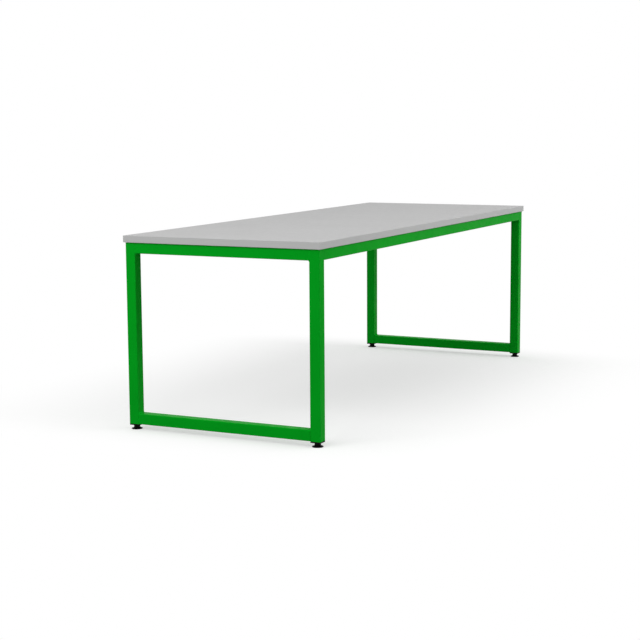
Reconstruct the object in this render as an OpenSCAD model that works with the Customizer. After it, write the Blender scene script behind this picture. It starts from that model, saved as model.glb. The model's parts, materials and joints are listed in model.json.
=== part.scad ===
// Dining table: a flat laminated board on a welded frame of square steel tube.
// Two closed end hoops are joined by side rails, and each leg stands on a screw foot.
// Sizes are in millimetres. X runs along the table, Y across it and Z up.
// The origin is on the floor, under the middle of the board.

/* [Table] */
// Length of the board
table_length = 2200; // [1400:10:2600]
// Width of the board
table_width = 800; // [600:10:1100]
// Height of the top surface above the floor
table_height = 720; // [600:5:900]
// How far the board stands out past the frame on every side
overhang = 6; // [2:1:60]

/* [Board] */
// Thickness of the finished board
board_thickness = 25; // [20:0.5:40]
// Thickness of the laminate sheet on each face
laminate_thickness = 0.8; // [0.6:0.1:1.5]
// Thickness of the edging strips
edging_thickness = 2; // [1:0.5:3]
// Radius worked on the outer corners of the edging
edging_radius = 0.8; // [0.4:0.1:0.9]

/* [Frame] */
// Outside width of the square tube
tube_size = 40; // [30:1:60]
// Wall thickness of the tube
tube_wall = 2; // [1.5:0.5:2.5]
// Outside corner radius of the tube
tube_radius = 3; // [3:0.5:6]

/* [Fixing plates] */
// Length of a fixing plate along its rail
plate_length = 50; // [30:5:80]
// How far a fixing plate reaches in from its rail
plate_reach = 30; // [26:1:40]
// Thickness of a fixing plate
plate_thickness = 3; // [2:0.5:5]
// Cut across the two free corners of a fixing plate
plate_corner_cut = 6; // [2:1:10]
// Distance from the rail to the screw in a fixing plate
screw_setback = 16; // [12:1:18]
// Number of plates on a side rail, each side of the middle rail
plates_per_bay = 2; // [1:1:4]
// Number of plates on each top end rail
plates_per_end = 2; // [1:1:3]

/* [Wood screws] */
// Shank diameter of a screw
screw_diameter = 5; // [4:0.5:6]
// Length of a screw below its head
screw_length = 18; // [14:1:20]
// Length of the tapered point of a screw
screw_point = 4; // [2:0.5:6]
// Diameter left at the very tip of a screw
screw_tip_diameter = 1; // [0.5:0.5:2]
// Diameter of the pan head
screw_head_diameter = 9.5; // [8:0.5:12]
// Height of the pan head
screw_head_height = 3; // [2:0.5:4]
// Gap round the shank where it passes through a plate
screw_gap = 0.3; // [0.1:0.1:0.6]

/* [Tube plugs] */
// Thickness of the plug's flange under the leg
flange_thickness = 5; // [3:0.5:6]
// Bevel round the lower edge of the flange
flange_bevel = 0.75; // [0.5:0.25:2]
// Gap round the stud where it passes through the flange
flange_hole_gap = 0.2; // [0.1:0.1:1]
// Depth of the plug inside the leg
plug_depth = 20; // [18:1:30]
// Wall thickness of the plug's sleeve
plug_wall = 2; // [1.5:0.25:2.5]
// Number of gripping ribs round the sleeve
rib_count = 3; // [2:1:4]
// Thickness of a rib
rib_thickness = 1.6; // [1:0.2:2]
// How far a rib stands out from the sleeve
rib_height = 1.5; // [1:0.25:2]
// Gap between the ribs and the inside of the leg
plug_gap = 0.1; // [0:0.05:0.3]
// Thickness of the webs that hold the boss
web_thickness = 2; // [1.5:0.25:3]
// Wall of the boss round the bush
boss_wall = 2.5; // [1.5:0.25:3]

/* [Threaded bushes] */
// Outside diameter of the bush
bush_diameter = 14; // [13.5:0.5:16]
// Length of the bush
bush_length = 15; // [10:1:18]
// Diameter of the bush's head
bush_head_diameter = 17; // [16.5:0.5:18]
// Thickness of the bush's head
bush_head_thickness = 1.5; // [1:0.25:2]

/* [Screw feet] */
// Thread diameter of the stud
stud_diameter = 10; // [8:1:12]
// How far a foot screws out of its leg
foot_travel = 15; // [5:1:25]
// Length of stud left above the bush when the foot is right out
stud_spare = 1.5; // [1:0.5:5]
// Chamfer at the tip of the stud
stud_chamfer = 1; // [0.5:0.25:1.5]
// Running gap round the stud in the bush and in the pad
running_gap = 0.05; // [0.02:0.01:0.1]
// Width across the flats of the hexagonal collar
collar_flats = 20; // [15:1:21]
// Height of the collar
collar_height = 8.4; // [6:0.2:14]
// Height of the chamfer round both ends of the collar
collar_chamfer = 0.8; // [0.4:0.1:1]
// Angle of that chamfer from the flat end
collar_chamfer_angle = 30; // [20:5:45]
// Gap left between the collar and the faces above and below it
collar_gap = 0.3; // [0.2:0.1:0.5]

/* [Foot pads] */
// Diameter of the pad on the floor
pad_diameter = 40; // [34:1:50]
// Height of the pad
pad_height = 7; // [6.5:0.25:9]
// Thickness of the pad's rim
rim_height = 2.5; // [2:0.25:3.5]
// Radius of the hollow flare between the rim and the neck
flare_radius = 9.5; // [8:0.5:12]
// Diameter of the hollow under the pad
hollow_diameter = 30; // [24:1:31]
// Depth of the hollow under the pad
hollow_depth = 1; // [0.5:0.25:1.5]
// Thickness of the pad under the button of the stud
pad_floor = 1.2; // [1:0.1:1.6]
// Diameter of the button on the stud, which turns in the pad
button_diameter = 13; // [11:0.5:14]
// Thickness of the button
button_thickness = 2; // [1.5:0.25:2.25]
// Diameter of the stud's waist, where the pad closes over the button
waist_diameter = 8; // [6:0.5:9]

/* [Hidden] */
$fn = 96;

// Small overrun, so that a cut passes clean through a face
cut = 1;

// The frame under the board
frame_length = table_length - 2 * overhang;
frame_width = table_width - 2 * overhang;
board_underside = table_height - board_thickness;
leg_x = (frame_length - tube_size) / 2;
leg_y = (frame_width - tube_size) / 2;
bay_length = frame_length - 2 * tube_size;
end_opening = frame_width - 2 * tube_size;

// Levels of a foot, from the floor up
button_base = hollow_depth + pad_floor + running_gap;
button_top = button_base + button_thickness;
collar_base = pad_height + collar_gap;
collar_top = collar_base + collar_height;
flange_base = collar_top + collar_gap;
frame_base = flange_base + flange_thickness;
stud_top = frame_base + bush_length + foot_travel + stud_spare;
leg_length = board_underside - frame_base;
top_rail_z = board_underside - tube_size / 2;
bottom_rail_z = frame_base + tube_size / 2;

// The plug inside the leg
tube_bore = tube_size - 2 * tube_wall;
bore_radius = tube_radius - tube_wall;
rib_width = tube_bore - 2 * plug_gap;
sleeve_width = rib_width - 2 * rib_height;
rib_pitch = (plug_depth - rib_thickness) / rib_count;

// Middles of a number of equal steps along a length that starts at 0
function step_middles(length, steps) = [for (i = [0:steps - 1]) (i + 0.5) * length / steps];

// Places of the plates as [x, y, turn], on the inner face of each rail and turned to point inwards
bay_steps = [for (x = step_middles((bay_length - tube_size) / 2, plates_per_bay)) x + tube_size / 2];
end_steps = [for (y = step_middles(end_opening, plates_per_end)) y - end_opening / 2];
side_plate_places = [for (sx = [-1, 1], sy = [-1, 1], x = bay_steps)
    [sx * x, sy * end_opening / 2, sy < 0 ? 0 : 180]];
end_plate_places = [for (sx = [-1, 1], y = end_steps)
    [sx * bay_length / 2, y, sx < 0 ? -90 : 90]];
plate_places = concat(side_plate_places, end_plate_places);

// Outline helpers

module rounded_rectangle(width, depth, radius) {
    square([width, depth - 2 * radius], center = true);
    square([width - 2 * radius, depth], center = true);
    for (sx = [-1, 1], sy = [-1, 1])
        translate([sx * (width / 2 - radius), sy * (depth / 2 - radius)])
            circle(radius);
}

module at_leg(side_x, side_y) {
    translate([side_x * leg_x, side_y * leg_y, 0])
        children();
}

module at_plates() {
    for (p = plate_places)
        translate([p[0], p[1], board_underside])
            rotate(p[2])
                children();
}

// Board

module board_blank() {
    // three outlines crossed, so that every outer corner of the board is rounded
    intersection() {
        linear_extrude(board_thickness)
            rounded_rectangle(table_length, table_width, edging_radius);
        translate([0, table_width / 2, board_thickness / 2])
            rotate([90, 0, 0])
                linear_extrude(table_width)
                    rounded_rectangle(table_length, board_thickness, edging_radius);
        translate([-table_length / 2, 0, board_thickness / 2])
            rotate([90, 0, 90])
                linear_extrude(table_length)
                    rounded_rectangle(table_width, board_thickness, edging_radius);
    }
}

module board_sheet(base, thickness) {
    length = table_length - 2 * edging_thickness;
    width = table_width - 2 * edging_thickness;
    translate([-length / 2, -width / 2, board_underside + base])
        cube([length, width, thickness]);
}

module long_edging(side_y) {
    // runs the whole length and covers the ends of the short strips
    color([0.68, 0.69, 0.68])
        translate([0, 0, board_underside])
            intersection() {
                board_blank();
                translate([-table_length / 2 - cut, side_y * (table_width - edging_thickness) / 2, -cut])
                    translate([0, -edging_thickness / 2, 0])
                        cube([table_length + 2 * cut, edging_thickness, board_thickness + 2 * cut]);
            }
}

module short_edging(side_x) {
    width = table_width - 2 * edging_thickness;
    color([0.68, 0.69, 0.68])
        translate([0, 0, board_underside])
            intersection() {
                board_blank();
                translate([side_x * (table_length - edging_thickness) / 2, -width / 2, -cut])
                    translate([-edging_thickness / 2, 0, 0])
                        cube([edging_thickness, width, board_thickness + 2 * cut]);
            }
}

module board_core() {
    color([0.72, 0.6, 0.44])
        difference() {
            board_sheet(laminate_thickness, board_thickness - 2 * laminate_thickness);
            at_plates() screw_shank();
        }
}

module top_laminate() {
    color([0.75, 0.75, 0.75])
        board_sheet(board_thickness - laminate_thickness, laminate_thickness);
}

module underside_laminate() {
    color([0.75, 0.75, 0.75])
        difference() {
            board_sheet(0, laminate_thickness);
            at_plates() screw_shank();
        }
}

module edging_front() { long_edging(-1); }
module edging_back() { long_edging(1); }
module edging_left() { short_edging(-1); }
module edging_right() { short_edging(1); }

// Welded frame

module tube(length) {
    color([0.0, 0.57, 0.1])
        linear_extrude(length)
            difference() {
                rounded_rectangle(tube_size, tube_size, tube_radius);
                rounded_rectangle(tube_bore, tube_bore, bore_radius);
            }
}

module leg(side_x, side_y) {
    at_leg(side_x, side_y)
        translate([0, 0, frame_base])
            tube(leg_length);
}

module cross_rail(x, z, length) {
    translate([x, -length / 2, z])
        rotate([-90, 0, 0])
            tube(length);
}

module side_rail(side_y) {
    translate([-bay_length / 2, side_y * leg_y, top_rail_z])
        rotate([0, 90, 0])
            tube(bay_length);
}

module leg_left_front() { leg(-1, -1); }
module leg_left_back() { leg(-1, 1); }
module leg_right_front() { leg(1, -1); }
module leg_right_back() { leg(1, 1); }

module top_end_rail_left() { cross_rail(-leg_x, top_rail_z, end_opening); }
module top_end_rail_right() { cross_rail(leg_x, top_rail_z, end_opening); }
module bottom_end_rail_left() { cross_rail(-leg_x, bottom_rail_z, end_opening); }
module bottom_end_rail_right() { cross_rail(leg_x, bottom_rail_z, end_opening); }

module side_rail_front() { side_rail(-1); }
module side_rail_back() { side_rail(1); }
module middle_rail() { cross_rail(0, top_rail_z, end_opening); }

// Plates and screws that hold the board down

module fixing_plate() {
    // stands in from a rail along +Y, with its top face against the board
    half = plate_length / 2;
    translate([0, 0, -plate_thickness])
        linear_extrude(plate_thickness)
            difference() {
                polygon([
                    [-half, 0],
                    [half, 0],
                    [half, plate_reach - plate_corner_cut],
                    [half - plate_corner_cut, plate_reach],
                    [-half + plate_corner_cut, plate_reach],
                    [-half, plate_reach - plate_corner_cut]
                ]);
                translate([0, screw_setback])
                    circle(screw_diameter / 2 + screw_gap);
            }
}

module screw_shank() {
    // from the underside of the plate up into the board
    translate([0, screw_setback, -plate_thickness]) {
        cylinder(h = screw_length - screw_point, d = screw_diameter);
        translate([0, 0, screw_length - screw_point])
            cylinder(h = screw_point, d1 = screw_diameter, d2 = screw_tip_diameter);
    }
}

module screw_head() {
    // pan head: a low drum with a rounded underside, below the plate
    round_over = screw_head_height / 2;
    translate([0, screw_setback, -plate_thickness - screw_head_height])
        rotate_extrude()
            intersection() {
                square([screw_head_diameter / 2, screw_head_height]);
                union() {
                    square([screw_head_diameter / 2 - round_over, screw_head_height]);
                    translate([0, round_over])
                        square([screw_head_diameter / 2, screw_head_height - round_over]);
                    translate([screw_head_diameter / 2 - round_over, round_over])
                        circle(round_over);
                }
            }
}

module fixing_plates() {
    color([0.0, 0.52, 0.1])
        at_plates() fixing_plate();
}

module wood_screws() {
    color([0.75, 0.76, 0.78])
        at_plates() {
            screw_shank();
            screw_head();
        }
}

// Plugs in the leg ends

module square_with_radius(width, radius, height) {
    linear_extrude(height)
        rounded_rectangle(width, width, radius);
}

module bevelled_bar(turn) {
    // flange seen from one side, with the bevel at the bottom, drawn out to its full width
    half = tube_size / 2;
    rotate([90, 0, turn])
        translate([0, 0, -half])
            linear_extrude(tube_size)
                polygon([
                    [-half + flange_bevel, 0],
                    [half - flange_bevel, 0],
                    [half, flange_bevel],
                    [half, flange_thickness],
                    [-half, flange_thickness],
                    [-half, flange_bevel]
                ]);
}

module flange() {
    intersection() {
        square_with_radius(tube_size, tube_radius, flange_thickness);
        bevelled_bar(0);
        bevelled_bar(90);
    }
}

module plug_sleeve() {
    difference() {
        union() {
            square_with_radius(sleeve_width, bore_radius, plug_depth);
            for (i = [1:rib_count])
                translate([0, 0, i * rib_pitch])
                    square_with_radius(rib_width, bore_radius, rib_thickness);
        }
        translate([0, 0, -cut])
            square_with_radius(sleeve_width - 2 * plug_wall, bore_radius, plug_depth + 2 * cut);
    }
}

module plug_webs() {
    span = sleeve_width - plug_wall;
    for (turn = [0, 90])
        rotate(turn)
            translate([-span / 2, -web_thickness / 2, 0])
                cube([span, web_thickness, bush_length - bush_head_thickness]);
}

module bush_form(gap) {
    // barrel with a wider head on top, which seats on the boss
    cylinder(h = bush_length - bush_head_thickness, d = bush_diameter);
    translate([0, 0, bush_length - bush_head_thickness])
        cylinder(h = bush_head_thickness + gap, d = bush_head_diameter);
}

module plug(side_x, side_y) {
    color([0.06, 0.06, 0.06])
        at_leg(side_x, side_y)
            translate([0, 0, flange_base])
                difference() {
                    union() {
                        flange();
                        translate([0, 0, flange_thickness]) {
                            plug_sleeve();
                            plug_webs();
                            cylinder(h = bush_length - bush_head_thickness,
                                     d = bush_diameter + 2 * boss_wall);
                        }
                    }
                    translate([0, 0, flange_thickness])
                        bush_form(cut);
                    translate([0, 0, -cut])
                        cylinder(h = flange_thickness + 2 * cut, d = stud_diameter + 2 * flange_hole_gap);
                }
}

module bush(side_x, side_y) {
    color([0.78, 0.74, 0.6])
        at_leg(side_x, side_y)
            translate([0, 0, frame_base])
                difference() {
                    bush_form(0);
                    translate([0, 0, -cut])
                        cylinder(h = bush_length + 2 * cut, d = stud_diameter + 2 * running_gap);
                }
}

module plug_left_front() { plug(-1, -1); }
module plug_left_back() { plug(-1, 1); }
module plug_right_front() { plug(1, -1); }
module plug_right_back() { plug(1, 1); }

module bush_left_front() { bush(-1, -1); }
module bush_left_back() { bush(-1, 1); }
module bush_right_front() { bush(1, -1); }
module bush_right_back() { bush(1, 1); }

// Screw feet

module stud(side_x, side_y) {
    // turned in one piece: button, waist, then the thread's outer diameter up to the tip
    radius = stud_diameter / 2;
    color([0.72, 0.73, 0.75])
        at_leg(side_x, side_y)
            rotate_extrude()
                polygon([
                    [0, button_base],
                    [button_diameter / 2, button_base],
                    [button_diameter / 2, button_top],
                    [waist_diameter / 2, button_top],
                    [waist_diameter / 2, collar_base],
                    [radius, collar_base],
                    [radius, stud_top - stud_chamfer],
                    [radius - stud_chamfer, stud_top],
                    [0, stud_top]
                ]);
}

module collar_turned_form() {
    // a drum with both ends chamfered, which rounds off the corners of the hexagon
    corner = collar_flats / sqrt(3);
    end_radius = corner - collar_chamfer / tan(collar_chamfer_angle);
    rotate_extrude()
        polygon([
            [0, 0],
            [end_radius, 0],
            [corner, collar_chamfer],
            [corner, collar_height - collar_chamfer],
            [end_radius, collar_height],
            [0, collar_height]
        ]);
}

module collar(side_x, side_y) {
    color([0.06, 0.06, 0.06])
        at_leg(side_x, side_y)
            translate([0, 0, collar_base])
                difference() {
                    intersection() {
                        cylinder(h = collar_height, r = collar_flats / sqrt(3), $fn = 6);
                        collar_turned_form();
                    }
                    translate([0, 0, -cut])
                        cylinder(h = collar_height + 2 * cut, d = stud_diameter);
                }
}

module pad(side_x, side_y) {
    socket_base = button_base - running_gap;
    socket_top = button_top + running_gap;
    color([0.06, 0.06, 0.06])
        at_leg(side_x, side_y)
            rotate_extrude()
                difference() {
                    square([pad_diameter / 2, pad_height]);
                    // hollow flare, which meets the rim at its outer edge
                    translate([pad_diameter / 2, rim_height + flare_radius])
                        circle(flare_radius);
                    // hollow underneath
                    translate([0, -cut])
                        square([hollow_diameter / 2, hollow_depth + cut]);
                    // socket for the button, and the lip that holds it in
                    translate([0, socket_base])
                        square([button_diameter / 2 + running_gap, socket_top - socket_base]);
                    translate([0, socket_base])
                        square([waist_diameter / 2 + running_gap, pad_height]);
                }
}

module stud_left_front() { stud(-1, -1); }
module stud_left_back() { stud(-1, 1); }
module stud_right_front() { stud(1, -1); }
module stud_right_back() { stud(1, 1); }

module collar_left_front() { collar(-1, -1); }
module collar_left_back() { collar(-1, 1); }
module collar_right_front() { collar(1, -1); }
module collar_right_back() { collar(1, 1); }

module pad_left_front() { pad(-1, -1); }
module pad_left_back() { pad(-1, 1); }
module pad_right_front() { pad(1, -1); }
module pad_right_back() { pad(1, 1); }

board_core();
top_laminate();
underside_laminate();
edging_front();
edging_back();
edging_left();
edging_right();
leg_left_front();
leg_left_back();
leg_right_front();
leg_right_back();
top_end_rail_left();
top_end_rail_right();
bottom_end_rail_left();
bottom_end_rail_right();
side_rail_front();
side_rail_back();
middle_rail();
fixing_plates();
wood_screws();
plug_left_front();
plug_left_back();
plug_right_front();
plug_right_back();
bush_left_front();
bush_left_back();
bush_right_front();
bush_right_back();
stud_left_front();
stud_left_back();
stud_right_front();
stud_right_back();
collar_left_front();
collar_left_back();
collar_right_front();
collar_right_back();
pad_left_front();
pad_left_back();
pad_right_front();
pad_right_back();
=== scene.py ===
# Dining table: a grey laminated board on a welded green tube frame with four screw feet.
import json
import math
import random

import bmesh
import bpy
from mathutils import Matrix, Vector

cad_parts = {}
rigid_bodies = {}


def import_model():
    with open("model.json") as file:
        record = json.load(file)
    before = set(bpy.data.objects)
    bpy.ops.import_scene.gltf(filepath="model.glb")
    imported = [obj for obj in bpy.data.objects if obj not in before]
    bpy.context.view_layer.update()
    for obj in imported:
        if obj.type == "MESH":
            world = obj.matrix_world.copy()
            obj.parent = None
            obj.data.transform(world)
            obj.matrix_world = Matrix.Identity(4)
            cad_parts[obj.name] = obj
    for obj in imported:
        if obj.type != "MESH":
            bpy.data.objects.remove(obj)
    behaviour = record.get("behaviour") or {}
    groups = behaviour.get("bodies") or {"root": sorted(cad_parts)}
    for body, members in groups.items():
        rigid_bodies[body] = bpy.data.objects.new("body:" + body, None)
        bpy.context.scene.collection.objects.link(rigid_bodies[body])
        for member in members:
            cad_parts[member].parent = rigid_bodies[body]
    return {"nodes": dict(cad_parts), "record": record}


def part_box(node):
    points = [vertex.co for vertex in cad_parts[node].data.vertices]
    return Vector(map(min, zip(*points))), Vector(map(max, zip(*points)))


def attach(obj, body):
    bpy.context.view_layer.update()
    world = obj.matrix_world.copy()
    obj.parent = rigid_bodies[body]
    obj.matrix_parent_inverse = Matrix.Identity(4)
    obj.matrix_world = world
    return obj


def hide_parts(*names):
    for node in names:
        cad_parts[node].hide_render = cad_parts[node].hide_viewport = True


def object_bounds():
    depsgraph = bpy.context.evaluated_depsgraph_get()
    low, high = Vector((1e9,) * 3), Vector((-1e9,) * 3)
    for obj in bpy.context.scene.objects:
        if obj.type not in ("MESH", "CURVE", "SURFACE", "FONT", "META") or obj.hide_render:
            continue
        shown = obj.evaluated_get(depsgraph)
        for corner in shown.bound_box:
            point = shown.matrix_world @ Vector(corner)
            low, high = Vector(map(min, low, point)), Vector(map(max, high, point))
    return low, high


for leftover in list(bpy.data.objects):
    bpy.data.objects.remove(leftover)

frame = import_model()
cadLow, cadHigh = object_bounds()
mm = 0.001
corners = ["left_front", "left_back", "right_front", "right_back"]
print("frame loaded with", len(frame["nodes"]), "pieces")


# Camera, at the height of someone walking up to the table

camera = {
    "place": (-5.6259, -2.6096, 1.1484),
    "heading": 26.04,        # degrees from +X towards +Y
    "tiltDown": 7.862,       # degrees, as is the roll
    "roll": -0.352,
    "lens": 83.22,           # millimetres, as is the sensor's width
    "sensor": 36.0,
    "nearest": 0.05,         # the camera sees between these two distances
    "furthest": 200,
}


def placeCamera():
    data = bpy.data.cameras.new("tableCamera")
    data.lens = camera["lens"]
    data.sensor_width = camera["sensor"]
    data.clip_start = camera["nearest"]
    data.clip_end = camera["furthest"]
    eye = bpy.data.objects.new("tableCamera", data)
    bpy.context.scene.collection.objects.link(eye)
    heading = Matrix.Rotation(math.radians(camera["heading"] - 90), 4, "Z")
    tilt = Matrix.Rotation(math.radians(90 - camera["tiltDown"]), 4, "X")
    roll = Matrix.Rotation(math.radians(camera["roll"]), 4, "Z")
    eye.matrix_world = Matrix.Translation(camera["place"]) @ heading @ tilt @ roll
    bpy.context.scene.camera = eye


placeCamera()
print("camera placed")


# Small helpers for node materials

def addNode(tree, kind, inputs=None, **settings):
    # one node, with its sockets set to values or joined to other nodes
    node = tree.nodes.new(kind)
    for name, value in settings.items():
        setattr(node, name, value)
    for name, value in (inputs or {}).items():
        if isinstance(value, bpy.types.NodeSocket):
            tree.links.new(value, node.inputs[name])
        else:
            node.inputs[name].default_value = value
    return node


def startMaterial(name, finish):
    # a material with one shader, whose fixed values stay on its own sockets
    material = bpy.data.materials.new(name)
    material.use_nodes = True
    tree = material.node_tree
    shader = tree.nodes["Principled BSDF"]
    shader.inputs["Base Color"].default_value = (*finish["colour"], 1)
    shader.inputs["Roughness"].default_value = finish["roughness"]
    shader.inputs["Specular IOR Level"].default_value = finish["specular"]
    shader.inputs["Metallic"].default_value = finish.get("metallic", 0.0)
    place = addNode(tree, "ShaderNodeTexCoord")
    return material, tree, shader, place


def stretched(tree, vector, scale):
    return addNode(tree, "ShaderNodeMapping", {"Vector": vector, "Scale": scale}).outputs["Vector"]


def noise(tree, vector, of):
    # a noise of the scale and detail that a finish gives for it
    if "stretch" in of:
        vector = stretched(tree, vector, of["stretch"])
    node = addNode(tree, "ShaderNodeTexNoise",
                   {"Vector": vector, "Scale": of["scale"], "Detail": of["detail"],
                    "Roughness": of.get("fineness", 0.5)})
    return node.outputs["Fac"]


def spread(tree, value, fromLow, fromHigh, toLow, toHigh):
    node = addNode(tree, "ShaderNodeMapRange",
                   {"Value": value, "From Min": fromLow, "From Max": fromHigh,
                    "To Min": toLow, "To Max": toHigh})
    return node.outputs["Result"]


def patches(tree, vector, of, middle=0.0):
    # a noise whose range "from" is spread over the range "to", counted from a middle value
    low, high = of["to"]
    return spread(tree, noise(tree, vector, of), *of["from"], middle + low, middle + high)


def maths(tree, operation, first, second=0.0):
    return addNode(tree, "ShaderNodeMath", {0: first, 1: second}, operation=operation).outputs[0]


def blendColours(tree, share, first, second, way="MIX"):
    colours = [c if isinstance(c, bpy.types.NodeSocket) else (*c, 1) for c in (first, second)]
    node = addNode(tree, "ShaderNodeMix", {0: share, 6: colours[0], 7: colours[1]},
                   data_type="RGBA", blend_type=way)
    return node.outputs[2]


def bump(tree, height, depth, under=None):
    inputs = {"Height": height, "Distance": depth, "Strength": 1.0}
    if under is not None:
        inputs["Normal"] = under
    return addNode(tree, "ShaderNodeBump", inputs).outputs["Normal"]


def relief(tree, vector, of, under=None):
    # a noise that stands out from the surface, or from a coarser relief under it
    return bump(tree, noise(tree, vector, of), of["depth"], under)


cornerTurn = (0.99, 0.75)    # largest part of the normal on a flat face, and in mid-corner


def roundedCorners(tree, normal):
    # 0 on faces square to the table, rising to 1 on the middle of a rounded corner
    size = addNode(tree, "ShaderNodeVectorMath", {0: normal}, operation="ABSOLUTE").outputs[0]
    parts = addNode(tree, "ShaderNodeSeparateXYZ", {0: size}).outputs
    largest = maths(tree, "MAXIMUM", maths(tree, "MAXIMUM", parts[0], parts[1]), parts[2])
    return spread(tree, largest, *cornerTurn, 0.0, 1.0)


def fromMiddle(tree, vector):
    # how far a point lies from the table's middle along X and along Y, in metres
    size = addNode(tree, "ShaderNodeVectorMath", {0: vector}, operation="ABSOLUTE").outputs[0]
    parts = addNode(tree, "ShaderNodeSeparateXYZ", {0: size}).outputs
    return parts[0], parts[1]


# Finishes. Each noise has a scale and a detail, and what lies in its "from" is spread over its "to".
# For gloss, rub and turning, "to" is counted from the finish's roughness

powderCoat = {
    "colour": (0.0006, 0.39, 0.0135),
    "deepColour": (0.0004, 0.355, 0.0125),
    "cornerColour": (0.004, 0.45, 0.026),  # thinner paint over the tube's corners
    "specular": 0.024,
    "roughness": 0.43,
    "wornRoughness": 0.12,   # added where a corner is worn
    "clouds": {"scale": 5, "detail": 3, "from": (0.3, 0.7), "to": (0, 1)},
    "wear": {"scale": 70, "detail": 4, "fineness": 0.65, "from": (0.42, 0.66), "to": (0.15, 0.75)},
    "speckle": {"scale": 1900, "detail": 1, "from": (0.35, 0.65), "to": (0.945, 1.055)},
    "gloss": {"scale": 38, "detail": 4, "from": (0.3, 0.7), "to": (-0.06, 0.06)},
    "peel": {"scale": 420, "detail": 2, "depth": 0.08 * mm},  # the orange peel of sprayed powder
    "dust": {"scale": 2600, "detail": 1, "depth": 0.02 * mm},
}


def makePowderCoat():
    material, tree, shader, place = startMaterial("powderCoat", powderCoat)
    at = place.outputs["Object"]
    clouds = patches(tree, at, powderCoat["clouds"])
    paint = blendColours(tree, clouds, powderCoat["deepColour"], powderCoat["colour"])
    corner = roundedCorners(tree, place.outputs["Normal"])
    worn = maths(tree, "MULTIPLY", corner, patches(tree, at, powderCoat["wear"]))
    paint = blendColours(tree, worn, paint, powderCoat["cornerColour"])
    speckle = patches(tree, at, powderCoat["speckle"])
    paint = blendColours(tree, 1.0, paint, speckle, "MULTIPLY")
    tree.links.new(paint, shader.inputs["Base Color"])
    gloss = patches(tree, at, powderCoat["gloss"], powderCoat["roughness"])
    dulled = maths(tree, "MULTIPLY", worn, powderCoat["wornRoughness"])
    tree.links.new(maths(tree, "ADD", gloss, dulled), shader.inputs["Roughness"])
    peel = relief(tree, at, powderCoat["peel"])
    tree.links.new(relief(tree, at, powderCoat["dust"], peel), shader.inputs["Normal"])
    return material


laminate = {
    "colour": (0.49, 0.49, 0.49),
    "paleColour": (0.51, 0.51, 0.51),
    "jointColour": (0.2, 0.2, 0.2),
    "jointWidth": 0.25 * mm,     # glue line beside the edging
    "specular": 0.12,
    "roughness": 0.5,
    "clouds": {"scale": 3, "detail": 4, "from": (0.3, 0.7), "to": (0, 1)},
    "grain": {"scale": 1500, "detail": 3, "fineness": 0.7, "from": (0.3, 0.7), "to": (0.95, 1.05)},
    "rub": {"scale": 14, "detail": 5, "fineness": 0.6, "stretch": (1, 6, 1),
            "from": (0.35, 0.7), "to": (-0.04, 0.1)},
    "stipple": {"scale": 900, "detail": 3, "fineness": 0.6, "depth": 0.02 * mm},
}


def makeLaminate():
    material, tree, shader, place = startMaterial("greyLaminate", laminate)
    at = place.outputs["Object"]
    clouds = patches(tree, at, laminate["clouds"])
    grey = blendColours(tree, clouds, laminate["colour"], laminate["paleColour"])
    grey = blendColours(tree, 1.0, grey, patches(tree, at, laminate["grain"]), "MULTIPLY")
    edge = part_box("top_laminate")[1]
    alongX, alongY = fromMiddle(tree, at)
    inset = maths(tree, "MINIMUM", maths(tree, "SUBTRACT", edge.x, alongX),
                  maths(tree, "SUBTRACT", edge.y, alongY))
    joint = spread(tree, inset, 0.0, laminate["jointWidth"], 1.0, 0.0)
    grey = blendColours(tree, joint, grey, laminate["jointColour"])
    tree.links.new(grey, shader.inputs["Base Color"])
    tree.links.new(patches(tree, at, laminate["rub"], laminate["roughness"]),
                   shader.inputs["Roughness"])
    tree.links.new(relief(tree, at, laminate["stipple"]), shader.inputs["Normal"])
    return material


edging = {
    "colour": (0.535, 0.54, 0.535),
    "cornerColour": (0.57, 0.575, 0.57),
    "specular": 0.12,
    "roughness": 0.45,
    "wear": {"scale": 90, "detail": 4, "fineness": 0.65, "from": (0.4, 0.66), "to": (0.1, 0.8)},
    "grain": {"scale": 1700, "detail": 3, "fineness": 0.7, "from": (0.3, 0.7), "to": (0.96, 1.04)},
    "gloss": {"scale": 60, "detail": 3, "from": (0.3, 0.7), "to": (-0.05, 0.07)},
    "stipple": {"scale": 1100, "detail": 2, "depth": 0.012 * mm},
}


def makeEdging():
    material, tree, shader, place = startMaterial("greyEdging", edging)
    at = place.outputs["Object"]
    corner = roundedCorners(tree, place.outputs["Normal"])
    worn = maths(tree, "MULTIPLY", corner, patches(tree, at, edging["wear"]))
    grey = blendColours(tree, worn, edging["colour"], edging["cornerColour"])
    grey = blendColours(tree, 1.0, grey, patches(tree, at, edging["grain"]), "MULTIPLY")
    tree.links.new(grey, shader.inputs["Base Color"])
    tree.links.new(patches(tree, at, edging["gloss"], edging["roughness"]),
                   shader.inputs["Roughness"])
    tree.links.new(relief(tree, at, edging["stipple"]), shader.inputs["Normal"])
    return material


chipboard = {
    "colour": (0.62, 0.47, 0.29),
    "darkColour": (0.30, 0.19, 0.09),
    "specular": 0.2,
    "roughness": 0.8,
    "chipScale": 320,
    "chipStretch": (1.0, 0.6, 3.0),  # the chips lie flat
    "chipDepth": 0.2 * mm,
}


def makeChipboard():
    material, tree, shader, place = startMaterial("chipboard", chipboard)
    flat = stretched(tree, place.outputs["Object"], chipboard["chipStretch"])
    chips = addNode(tree, "ShaderNodeTexVoronoi",
                    {"Vector": flat, "Scale": chipboard["chipScale"]}, feature="F1")
    share = addNode(tree, "ShaderNodeSeparateColor", {0: chips.outputs["Color"]}).outputs[0]
    tree.links.new(blendColours(tree, share, chipboard["colour"], chipboard["darkColour"]),
                   shader.inputs["Base Color"])
    tree.links.new(bump(tree, chips.outputs["Distance"], chipboard["chipDepth"]),
                   shader.inputs["Normal"])
    return material


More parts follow.
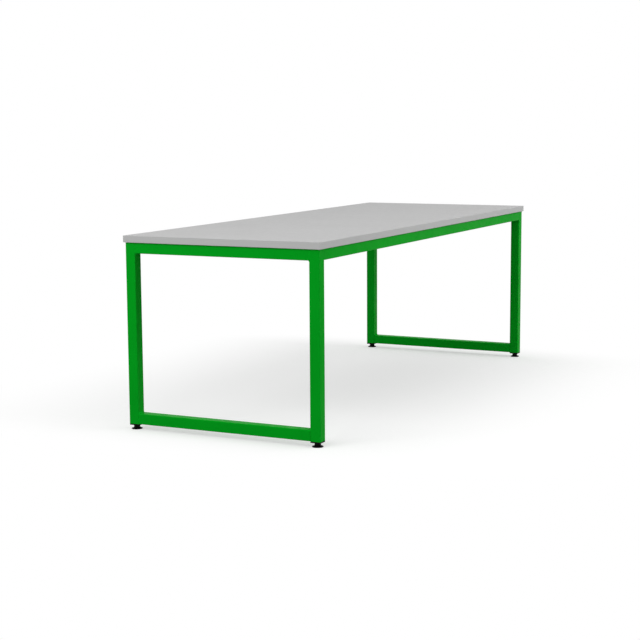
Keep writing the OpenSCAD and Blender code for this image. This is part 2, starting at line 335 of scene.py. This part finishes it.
nylon = {
    "colour": (0.0028, 0.0026, 0.0026),
    "scuffColour": (0.012, 0.012, 0.012),
    "specular": 0.06,
    "roughness": 0.5,
    "edgeRadius": 0.5 * mm,
    "edgeSamples": 6,
    "edgeTurn": (0.995, 0.85),   # rounded against true normal, on a face and on an edge
    "scuffs": {"scale": 260, "detail": 4, "fineness": 0.7, "from": (0.4, 0.65), "to": (0.1, 0.8)},
    "clouds": {"scale": 120, "detail": 3, "from": (0.3, 0.7), "to": (0.85, 1.15)},
    "gloss": {"scale": 300, "detail": 3, "from": (0.3, 0.7), "to": (-0.08, 0.08)},
    "grain": {"scale": 2200, "detail": 2, "depth": 0.02 * mm},
}


def makeNylon():
    material, tree, shader, place = startMaterial("blackNylon", nylon)
    at = place.outputs["Object"]
    soft = addNode(tree, "ShaderNodeBevel", {"Radius": nylon["edgeRadius"]},
                   samples=nylon["edgeSamples"]).outputs[0]
    flat = addNode(tree, "ShaderNodeNewGeometry").outputs["Normal"]
    facing = addNode(tree, "ShaderNodeVectorMath", {0: soft, 1: flat},
                     operation="DOT_PRODUCT").outputs["Value"]
    edge = spread(tree, facing, *nylon["edgeTurn"], 0.0, 1.0)
    scuffed = maths(tree, "MULTIPLY", edge, patches(tree, at, nylon["scuffs"]))
    black = blendColours(tree, scuffed, nylon["colour"], nylon["scuffColour"])
    black = blendColours(tree, 1.0, black, patches(tree, at, nylon["clouds"]), "MULTIPLY")
    tree.links.new(black, shader.inputs["Base Color"])
    tree.links.new(patches(tree, at, nylon["gloss"], nylon["roughness"]), shader.inputs["Roughness"])
    tree.links.new(relief(tree, at, nylon["grain"], soft), shader.inputs["Normal"])
    return material


zinc = {
    "colour": (0.62, 0.63, 0.66),
    "dullColour": (0.42, 0.43, 0.44),
    "specular": 0.5,
    "metallic": 1.0,
    "roughness": 0.3,
    "clouds": {"scale": 240, "detail": 4, "fineness": 0.6, "from": (0.35, 0.7), "to": (0, 1)},
    "turning": {"scale": 700, "detail": 2, "stretch": (1, 1, 14), "depth": 0.008 * mm,
                "from": (0.3, 0.7), "to": (-0.08, 0.12)},
}


def makeZinc():
    material, tree, shader, place = startMaterial("zincPlate", zinc)
    at = place.outputs["Object"]
    clouds = patches(tree, at, zinc["clouds"])
    tree.links.new(blendColours(tree, clouds, zinc["colour"], zinc["dullColour"]),
                   shader.inputs["Base Color"])
    tree.links.new(patches(tree, at, zinc["turning"], zinc["roughness"]), shader.inputs["Roughness"])
    tree.links.new(relief(tree, at, zinc["turning"]), shader.inputs["Normal"])
    return material


finishes = {
    "green_powder_coat": makePowderCoat(),
    "grey_laminate": makeLaminate(),
    "grey_edging": makeEdging(),
    "chipboard": makeChipboard(),
    "black_nylon": makeNylon(),
    "zinc_steel": makeZinc(),
}


def dressNodes():
    # every piece of the frame takes the finish that its record names
    for part in frame["record"]["subparts"]:
        mesh = frame["nodes"][part["node"]].data
        mesh.materials.clear()
        mesh.materials.append(finishes[part["material_slot"]])


dressNodes()
print("finishes made:", ", ".join(finishes))


# Helpers for new pieces

meshing = {
    "merge": 0.001 * mm,     # vertices nearer than this become one
    "looseMerge": 0.002 * mm,  # the same on a frame piece's loose triangles
    "cut": 0.0001 * mm,      # vertices this near a cutting plane lie in it
    "flatness": 0.01 * mm,   # vertices this near a box's side lie in its face
    "sharpAngle": 38,        # edges turned by more degrees than this stay sharp
    "sortDigits": 4,         # places of solids are sorted by these decimals of a metre
}


def finishPiece(bm, name, slot, body, *replaced):
    # merges what meets, turns the faces outwards and hands the piece to the frame
    bmesh.ops.remove_doubles(bm, verts=bm.verts, dist=meshing["merge"])
    bmesh.ops.recalc_face_normals(bm, faces=bm.faces)
    mesh = bpy.data.meshes.new(name)
    bm.to_mesh(mesh)
    bm.free()
    mesh.shade_smooth()
    mesh.set_sharp_from_angle(angle=math.radians(meshing["sharpAngle"]))
    mesh.materials.append(finishes[slot])
    piece = bpy.data.objects.new(name, mesh)
    bpy.context.scene.collection.objects.link(piece)
    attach(piece, body)
    if replaced:
        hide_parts(*replaced)


def seat(origin, right, ahead):
    # a frame of axes: X along right, Y along ahead, Z square to both
    x, y = Vector(right), Vector(ahead)
    turn = Matrix((x, y, x.cross(y))).transposed().to_4x4()
    return Matrix.Translation(origin) @ turn


def addPath(bm, points, closed=False):
    # vertices joined in a row by edges
    verts = [bm.verts.new(point) for point in points]
    pairs = list(zip(verts, verts[1:]))
    if closed:
        pairs.append((verts[-1], verts[0]))
    return verts, [bm.edges.new(pair) for pair in pairs]


def joinTo(bm, part, place):
    # puts a small finished form in its place and adds it to a piece
    mesh = bpy.data.meshes.new("part")
    part.to_mesh(mesh)
    part.free()
    mesh.transform(place)
    bm.from_mesh(mesh)
    bpy.data.meshes.remove(mesh)


def extrudeLoop(bm, edges, vec):
    # draws a ring of edges out into a wall, and gives the new ring and its vertices
    grown = bmesh.ops.extrude_edge_only(bm, edges=edges)["geom"]
    verts = [item for item in grown if isinstance(item, bmesh.types.BMVert)]
    ring = [item for item in grown if isinstance(item, bmesh.types.BMEdge)
            and all(vert in verts for vert in item.verts)]
    bmesh.ops.translate(bm, verts=verts, vec=vec)
    return verts, ring


def closeEnds(bm):
    bmesh.ops.holes_fill(bm, edges=[edge for edge in bm.edges if edge.is_boundary])


def tubeRounding():
    # radius of the tube's corners, from where the flat of a leg's face starts
    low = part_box("leg_left_front")[0]
    spots = [v.co for v in frame["nodes"]["leg_left_front"].data.vertices]
    return min(spot.y for spot in spots if spot.x - low.x < meshing["flatness"]) - low.y


def solidBoxes(node):
    # lowest and highest corner of each separate solid in a node, in order along X, then Y
    bm = bmesh.new()
    bm.from_mesh(frame["nodes"][node].data)
    bmesh.ops.remove_doubles(bm, verts=bm.verts, dist=meshing["looseMerge"])
    boxes = []
    waiting = set(bm.verts)
    while waiting:
        solid = [waiting.pop()]
        for vert in solid:
            for edge in vert.link_edges:
                other = edge.other_vert(vert)
                if other in waiting:
                    waiting.remove(other)
                    solid.append(other)
        low = Vector([min(v.co[i] for v in solid) for i in range(3)])
        high = Vector([max(v.co[i] for v in solid) for i in range(3)])
        boxes.append((low, high))
    bm.free()
    digits = meshing["sortDigits"]
    return sorted(boxes, key=lambda box: (round(box[0].x, digits), round(box[0].y, digits)))


# Weld seams: rippled beads in the inside corners, and ground fills where faces run on flush

weldBead = {
    "leg": 4.2 * mm,         # reach of a bead along each face
    "pull": 0.8,             # the face's arc is struck from this many legs behind the corner
    "ripple": 1.7 * mm,      # pitch of the ripples
    "uneven": 0.03,          # random share by which a ripple is larger or smaller
    "swell": 0.12,           # how far a crest stands out over a valley
    "bow": 0.8 * mm,         # how far the middle of a ripple runs ahead of its ends
    "facets": 6,
    "tipShare": 0.35,        # size of a bead's two ends against its middle
    "tipSteps": 3,
    "plateBead": 38 * mm,    # length of the bead under a fixing plate
    "seed": 11,
}
flushFill = {
    "sunk": 0.3 * mm,        # depth of a ground seam below the tubes' faces
    "edgeSunk": 0.06 * mm,   # and its depth at the rail's end
    "footSunk": 1.7 * mm,    # the seams down at the feet are left rough, and lie deeper
    "footEdgeSunk": 1.3 * mm,
    "depth": 2.6 * mm,       # how far the metal reaches under the face
    "hollow": ((1, 1 / 4), (1.1, 1 / 2), (2, 2 / 3)),  # shares of the seam's depth and of the rounding
    "root": 1 / 5,           # the same share of the rounding at the full depth
    "bendSteps": 5,
}


def makeBead(length, dice):
    # a fillet along the Z axis, in the corner between X and Y, with its middle at zero
    bm = bmesh.new()
    leg = weldBead["leg"]
    back = -weldBead["pull"] * leg
    lean = math.atan2(-back, leg - back)
    first = bm.verts.new((leg, 0, 0))
    bmesh.ops.spin(bm, geom=[first], cent=(back, back, 0), axis=(0, 0, 1),
                   angle=math.pi / 2 - 2 * lean, steps=weldBead["facets"])
    arc = sorted(bm.verts, key=lambda vert: vert.co.y)
    for i, vert in enumerate(arc):
        share = i / weldBead["facets"]
        vert.co.z = weldBead["bow"] * 4 * share * (1 - share)  # the whole bow at the middle
    corner = bm.verts.new((0, 0, 0))
    bm.edges.new((corner, arc[0]))
    bm.edges.new((arc[-1], corner))
    verts, ring = bm.verts[:], bm.edges[:]
    bmesh.ops.translate(bm, verts=verts, vec=(0, 0, -length / 2))
    steps = 2 * round(length / weldBead["ripple"])  # a crest and a valley to each ripple
    size = 1.0
    for step in range(steps + 1):
        fromTip = min(step, steps - step, weldBead["tipSteps"]) / weldBead["tipSteps"]
        wanted = weldBead["tipShare"] + (1 - weldBead["tipShare"]) * fromTip
        wanted *= dice.uniform(1 - weldBead["uneven"], 1 + weldBead["uneven"])
        wanted *= 1 + weldBead["swell"] * (step % 2)
        if step > 0:
            verts, ring = extrudeLoop(bm, ring, (0, 0, length / steps))
        bmesh.ops.scale(bm, verts=verts, vec=(wanted / size, wanted / size, 1))
        size = wanted
    closeEnds(bm)
    return bm


def makeFlushFill(length, bend, edgeSunk, sunk):
    # fills the hollow over a tube's rounded corner, and follows the rail round its own corners
    # X points out of the flush face and Y along the rail, from its end towards the other tube
    bm = bmesh.new()
    depth = flushFill["depth"]
    hollow = [(-min(down * sunk, depth), along * bend) for down, along in flushFill["hollow"]]
    outline = [(-edgeSunk, 0), *hollow, (-depth, flushFill["root"] * bend), (-depth, 0)]
    nearVerts, near = addPath(bm, [(x, y, -length / 2) for x, y in outline], closed=True)
    farVerts, far = extrudeLoop(bm, near, (0, 0, length))
    for geometry, way in ((nearVerts + near, 1), (farVerts + far, -1)):
        bmesh.ops.spin(bm, geom=geometry, cent=(-bend, 0, -way * length / 2), axis=(0, way, 0),
                       angle=math.pi / 2, steps=flushFill["bendSteps"])
    closeEnds(bm)
    return bm


def makeWelds():
    bm = bmesh.new()
    dice = random.Random(weldBead["seed"])
    bend = tubeRounding()
    down, rise = (0, 0, -1), (0, 0, 1)
    topLow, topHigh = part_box("top_end_rail_right")
    footLow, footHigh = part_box("bottom_end_rail_right")
    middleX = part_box("middle_rail")[1].x
    innerX, outerX, endY = topLow.x, topHigh.x, topHigh.y
    legX = (innerX + outerX) / 2
    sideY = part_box("side_rail_back")[1].y
    legY = (endY + sideY) / 2
    railZ = (topLow.z + topHigh.z) / 2
    footZ = (footLow.z + footHigh.z) / 2
    seam = topHigh.z - topLow.z - 2 * bend
    ground = (flushFill["edgeSunk"], flushFill["sunk"])
    rough = (flushFill["footEdgeSunk"], flushFill["footSunk"])
    for sx in (-1, 1):
        for sy in (-1, 1):
            inX, inY, outX, outY = (-sx, 0, 0), (0, -sy, 0), (sx, 0, 0), (0, sy, 0)
            beads = [
                ((sx * legX, sy * endY, topLow.z), inY, down),
                ((sx * legX, sy * endY, footHigh.z), inY, rise),
                ((sx * innerX, sy * endY, railZ), inX, inY),
                ((sx * innerX, sy * legY, topLow.z), inX, down),
                ((sx * middleX, sy * endY, railZ), outX, inY),
            ]
            fills = [
                ((sx * outerX, sy * endY, railZ), outX, outY, ground),
                ((sx * outerX, sy * endY, footZ), outX, outY, rough),
                ((sx * innerX, sy * endY, footZ), inX, outY, rough),
                ((sx * innerX, sy * sideY, railZ), outY, outX, ground),
            ]
            for bead in beads:
                joinTo(bm, makeBead(seam, dice), seat(*bead))
            for origin, out, along, depths in fills:
                joinTo(bm, makeFlushFill(seam, bend, *depths), seat(origin, out, along))
    for sy in (-1, 1):
        joinTo(bm, makeFlushFill(seam, bend, *ground), seat((0, sy * endY, topLow.z), down, (0, sy, 0)))
    for low, high in solidBoxes("fixing_plates"):
        middle = (low + high) / 2
        if high.x - low.x > high.y - low.y:
            side = math.copysign(1, middle.y)
            place = seat((middle.x, side * endY, low.z), (0, -side, 0), down)
        else:
            side = math.copysign(1, middle.x)
            place = seat((side * innerX, middle.y, low.z), (-side, 0, 0), down)
        joinTo(bm, makeBead(weldBead["plateBead"], dice), place)
    finishPiece(bm, "weldSeams", "green_powder_coat", "frame")


makeWelds()
print("weld seams laid")


# Screw threads

def makeThread(bottom, top, thread):
    # a right-handed thread round the Z axis, closed flat at both heights
    bm = bmesh.new()
    pitch, crest = thread["pitch"], thread["diameter"] / 2
    root = crest - thread["depth"]
    rootFlat, crestFlat = thread["rootFlat"] * pitch, thread["crestFlat"] * pitch
    flank = (pitch - rootFlat - crestFlat) / 2
    start = bottom - pitch
    turns = math.ceil((top - bottom) / pitch) + 2  # a turn too many at each end, to be cut off
    heights = [0, rootFlat, rootFlat + flank, pitch - flank, pitch]
    points = zip((root, root, crest, crest, root), heights)
    verts, edges = addPath(bm, [(radius, 0, start + height) for radius, height in points])
    bmesh.ops.spin(bm, geom=verts + edges, cent=(0, 0, 0), axis=(0, 0, 1), angle=2 * math.pi * turns,
                   steps=thread["facets"] * turns, dvec=(0, 0, pitch / thread["facets"]))
    bmesh.ops.remove_doubles(bm, verts=bm.verts, dist=meshing["merge"])
    for height in (bottom, top):
        cut = bmesh.ops.bisect_plane(bm, geom=bm.verts[:] + bm.edges[:] + bm.faces[:],
                                     dist=meshing["cut"],
                                     plane_co=(0, 0, height), plane_no=(0, 0, 1),
                                     clear_inner=height == bottom, clear_outer=height == top)
        rim = [item for item in cut["geom_cut"] if isinstance(item, bmesh.types.BMEdge)]
        bmesh.ops.contextual_create(bm, geom=rim)
    return bm


def narrow(bm, start, end, widest, narrowest):
    # draws the end of a thread in towards the Z axis, under a cone between two heights
    for vert in bm.verts:
        share = (vert.co.z - start) / (end - start)
        limit = widest + (narrowest - widest) * share
        radius = math.hypot(vert.co.x, vert.co.y)
        if share > 0 and radius > limit:
            vert.co.x *= limit / radius
            vert.co.y *= limit / radius


# Studs of the screw feet: a button that turns in the pad, a waist and a metric thread

footStud = {
    "buttonHeight": 2 * mm,
    "waist": 8 * mm,         # diameter between the button and the collar
    "pitch": 1.5 * mm,
    "diameter": 10 * mm,
    "depth": 0.85 * mm,      # from the thread's crest to its root
    "rootFlat": 0.2,         # shares of the pitch
    "crestFlat": 0.125,
    "facets": 36,
    "chamfer": 1 * mm,
    "hidden": 0.8 * mm,      # the thread starts this far inside the collar
    "runOut": 1 * mm,        # the shank narrows over this height under the thread
}


def makeStud(corner):
    low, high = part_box("stud_" + corner)
    collarLow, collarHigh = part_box("collar_" + corner)
    bm = bmesh.new()
    button = (high.x - low.x) / 2
    neck = footStud["waist"] / 2
    shank = footStud["diameter"] / 2
    neckBase = low.z + footStud["buttonHeight"]
    threadBase = collarHigh.z - footStud["hidden"]
    outline = [(0, low.z), (button, low.z), (button, neckBase), (neck, neckBase), (neck, collarLow.z),
               (shank, collarLow.z), (shank, threadBase - footStud["runOut"]),
               (shank - footStud["runOut"], threadBase), (0, threadBase)]
    verts, edges = addPath(bm, [(radius, 0, z) for radius, z in outline])
    bmesh.ops.spin(bm, geom=verts + edges, cent=(0, 0, 0), axis=(0, 0, 1), angle=2 * math.pi,
                   steps=footStud["facets"], use_merge=True)
    thread = makeThread(threadBase, high.z, footStud)
    narrow(thread, high.z - footStud["chamfer"], high.z, shank, shank - footStud["chamfer"])
    joinTo(bm, thread, Matrix())
    bmesh.ops.translate(bm, verts=bm.verts, vec=((low.x + high.x) / 2, (low.y + high.y) / 2, 0))
    finishPiece(bm, "threadedStud_" + corner, "zinc_steel", "screw_" + corner, "stud_" + corner)


for corner in corners:
    makeStud(corner)
print("studs threaded")


# Pan-head screws that hold the board down, with a cross recess in each head

boardScrew = {
    "round": 1.5 * mm,       # rounding of the head's lower edge
    "roundSteps": 5,
    "headHeight": 3 * mm,
    "point": 4 * mm,         # length of the point
    "tip": 0.4 * mm,         # and the radius left at its end
    "pitch": 2.2 * mm,
    "diameter": 5 * mm,
    "depth": 0.9 * mm,
    "rootFlat": 0.5,
    "crestFlat": 0.06,
    "facets": 24,
    "wing": 2.2 * mm,        # reach of the cross from the middle
    "slot": 0.55 * mm,       # half the width of a wing
    "recess": 1.8 * mm,      # depth of the cross
    "recessTaper": 0.55,     # its size at the bottom against the top
    "seed": 5,
}


def makeBoardScrew(headRadius, length):
    # one screw round the Z axis, with its head hanging below zero
    bm = bmesh.new()
    bend = boardScrew["round"]
    base = -boardScrew["headHeight"]
    side = addPath(bm, [(0, 0, 0), (headRadius, 0, 0), (headRadius, 0, base + bend)])[0]
    bmesh.ops.spin(bm, geom=[side[-1]], cent=(headRadius - bend, 0, base + bend), axis=(0, 1, 0),
                   angle=math.pi / 2, steps=boardScrew["roundSteps"])
    bmesh.ops.spin(bm, geom=list(bm.verts) + list(bm.edges), cent=(0, 0, 0), axis=(0, 0, 1),
                   angle=2 * math.pi, steps=boardScrew["facets"], use_merge=True)
    rim = [edge for edge in bm.edges if edge.is_boundary]
    # cross recess in the flat of the head
    wing, half = boardScrew["wing"], boardScrew["slot"]
    quarter = [Vector((wing, -half, base)), Vector((wing, half, base)), Vector((half, half, base))]
    turns = [Matrix.Rotation(math.radians(90 * i), 3, "Z") for i in range(4)]
    cross = addPath(bm, [turn @ point for turn in turns for point in quarter], closed=True)[1]
    bmesh.ops.triangle_fill(bm, edges=rim + cross, use_beauty=True, normal=(0, 0, -1))
    inner, ring = extrudeLoop(bm, cross, (0, 0, boardScrew["recess"]))
    taper = boardScrew["recessTaper"]
    bmesh.ops.scale(bm, verts=inner, vec=(taper, taper, 1))
    bmesh.ops.contextual_create(bm, geom=ring)
    thread = makeThread(0, length, boardScrew)
    narrow(thread, length - boardScrew["point"], length, boardScrew["diameter"] / 2, boardScrew["tip"])
    joinTo(bm, thread, Matrix())
    return bm


def makeBoardScrews():
    dice = random.Random(boardScrew["seed"])
    boxes = solidBoxes("wood_screws")
    low, high = boxes[0]
    bearing = low.z + boardScrew["headHeight"]
    single = makeBoardScrew((high.x - low.x) / 2, high.z - bearing)
    bm = bmesh.new()
    for low, high in boxes:
        turn = Matrix.Rotation(dice.uniform(0, 2 * math.pi), 4, "Z")
        spot = Matrix.Translation(((low.x + high.x) / 2, (low.y + high.y) / 2, bearing))
        joinTo(bm, single.copy(), spot @ turn)
    single.free()
    finishPiece(bm, "panHeadScrews", "zinc_steel", "frame", "wood_screws")


makeBoardScrews()
print("board screws made")


# Floor and light

studio = {
    "skyLevel": 0.64,        # even light that falls on the table from all round
    "backdrop": 1.0,         # what the camera and reflections see, where 1 is white
    "floorColour": (0.72, 0.72, 0.72),
    "floorBounce": (0.24, 0.24, 0.24),  # the floor's colour for light that goes back up
    "floorGlow": 0.34,       # brings the lit floor up to white for the camera alone
    "fadeFrom": (-0.12, 0.1),  # where along X and Y, past the table, the floor starts to fade
    "fadeOver": (0.4, 0.85),   # and how far on it is white
    "floorReach": 9.0,         # from the table's middle to the floor's edges
    "underFloor": 16 * mm,   # depth of the sheet that shows where a foot is screwed out
}
lamps = {
    # turn is in degrees from -X towards -Y, and rise is above the floor
    "softboxLeft": {"turn": -10, "rise": 30, "distance": 4.5, "size": (3.0, 2.0), "power": 54},
    "softboxFront": {"turn": 100, "rise": 30, "distance": 4.5, "size": (3.5, 2.0), "power": 66},
}


def seenDirectly(tree):
    # 1 for the camera, reflections and glass, and 0 for light that falls on the table
    path = addNode(tree, "ShaderNodeLightPath").outputs
    seen = maths(tree, "ADD", path["Is Camera Ray"], path["Is Glossy Ray"])
    return maths(tree, "MINIMUM", maths(tree, "ADD", seen, path["Is Transmission Ray"]), 1.0)


def makeWorld():
    world = bpy.data.worlds.new("studioWorld")
    bpy.context.scene.world = world
    world.use_nodes = True
    tree = world.node_tree
    tree.nodes.clear()
    dome = addNode(tree, "ShaderNodeBackground", {"Strength": studio["skyLevel"]})
    white = addNode(tree, "ShaderNodeBackground", {"Strength": studio["backdrop"]})
    for node in (dome, white):
        node.inputs["Color"].default_value = (1, 1, 1, 1)
    mixed = addNode(tree, "ShaderNodeMixShader",
                    {0: seenDirectly(tree), 1: dome.outputs[0], 2: white.outputs[0]})
    addNode(tree, "ShaderNodeOutputWorld", {"Surface": mixed.outputs[0]})


def makeFloorFinish():
    material = bpy.data.materials.new("paleFloor")
    material.use_nodes = True
    tree = material.node_tree
    tree.nodes.clear()
    seen = seenDirectly(tree)
    colour = blendColours(tree, seen, studio["floorBounce"], studio["floorColour"])
    lit = addNode(tree, "ShaderNodeBsdfDiffuse", {"Color": colour})
    glow = addNode(tree, "ShaderNodeEmission",
                   {"Strength": maths(tree, "MULTIPLY", seen, studio["floorGlow"])})
    both = addNode(tree, "ShaderNodeAddShader", {0: lit.outputs[0], 1: glow.outputs[0]})
    # the seen floor fades to plain white away from the table
    at = addNode(tree, "ShaderNodeTexCoord").outputs["Object"]
    alongX, alongY = fromMiddle(tree, at)
    squares = []
    ends = zip((alongX, alongY), cadHigh, studio["fadeFrom"], studio["fadeOver"])
    for along, edge, start, over in ends:
        past = spread(tree, along, edge + start, edge + start + over, 0.0, 1.0)
        squares.append(maths(tree, "POWER", past, 2.0))
    away = maths(tree, "SQRT", maths(tree, "ADD", *squares))
    fade = addNode(tree, "ShaderNodeMapRange", {"Value": away},
                   interpolation_type="SMOOTHSTEP").outputs["Result"]
    white = addNode(tree, "ShaderNodeEmission", {"Strength": studio["backdrop"]})
    faded = addNode(tree, "ShaderNodeMixShader",
                    {0: maths(tree, "MULTIPLY", fade, seen), 1: both.outputs[0], 2: white.outputs[0]})
    below = addNode(tree, "ShaderNodeNewGeometry").outputs["Backfacing"]
    clear = addNode(tree, "ShaderNodeBsdfTransparent")
    shown = addNode(tree, "ShaderNodeMixShader",
                    {0: below, 1: faded.outputs[0], 2: clear.outputs[0]})
    addNode(tree, "ShaderNodeOutputMaterial", {"Surface": shown.outputs[0]})
    return material


def laySheet(name, body, finish, middle, size):
    # a square of floor that goes with a body, but is no piece of the table
    bm = bmesh.new()
    bmesh.ops.create_grid(bm, x_segments=1, y_segments=1, size=size / 2)
    bmesh.ops.translate(bm, verts=bm.verts, vec=middle)
    mesh = bpy.data.meshes.new(name)
    bm.to_mesh(mesh)
    bm.free()
    mesh.materials.append(finish)
    sheet = bpy.data.objects.new(name, mesh)
    bpy.context.scene.collection.objects.link(sheet)
    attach(sheet, body)


def layFloor():
    # one quarter under each foot, which goes down with that foot when it is screwed out
    finish = makeFloorFinish()
    reach = studio["floorReach"]
    for corner in corners:
        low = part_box("pad_" + corner)[0]
        middle = (math.copysign(reach / 2, low.x), math.copysign(reach / 2, low.y), low.z)
        laySheet("floor_" + corner, "pad_" + corner, finish, middle, reach)
    # a sheet below them all is what shows in the step that a lowered quarter leaves
    laySheet("floor_under", "frame", finish, (0, 0, -studio["underFloor"]), 2 * reach)


def hangLamps():
    # two soft lamps on the camera's side, aimed at the middle of the table's height
    aim = Vector((0, 0, cadHigh.z / 2))
    for name, lamp in lamps.items():
        data = bpy.data.lights.new(name, "AREA")
        data.shape = "RECTANGLE"
        data.size, data.size_y = lamp["size"]
        data.energy = lamp["power"]
        turn = math.radians(lamp["turn"])
        rise = math.radians(lamp["rise"])
        level = math.cos(rise)
        way = Vector((-math.cos(turn) * level, -math.sin(turn) * level, math.sin(rise)))
        softbox = bpy.data.objects.new(name, data)
        bpy.context.scene.collection.objects.link(softbox)
        softbox.location = aim + way * lamp["distance"]
        softbox.rotation_euler = way.to_track_quat("Z", "Y").to_euler()
        softbox.visible_camera = False
        softbox.visible_glossy = False


makeWorld()
layFloor()
hangLamps()
bpy.context.scene.view_settings.view_transform = "Standard"
print("floor and light set")
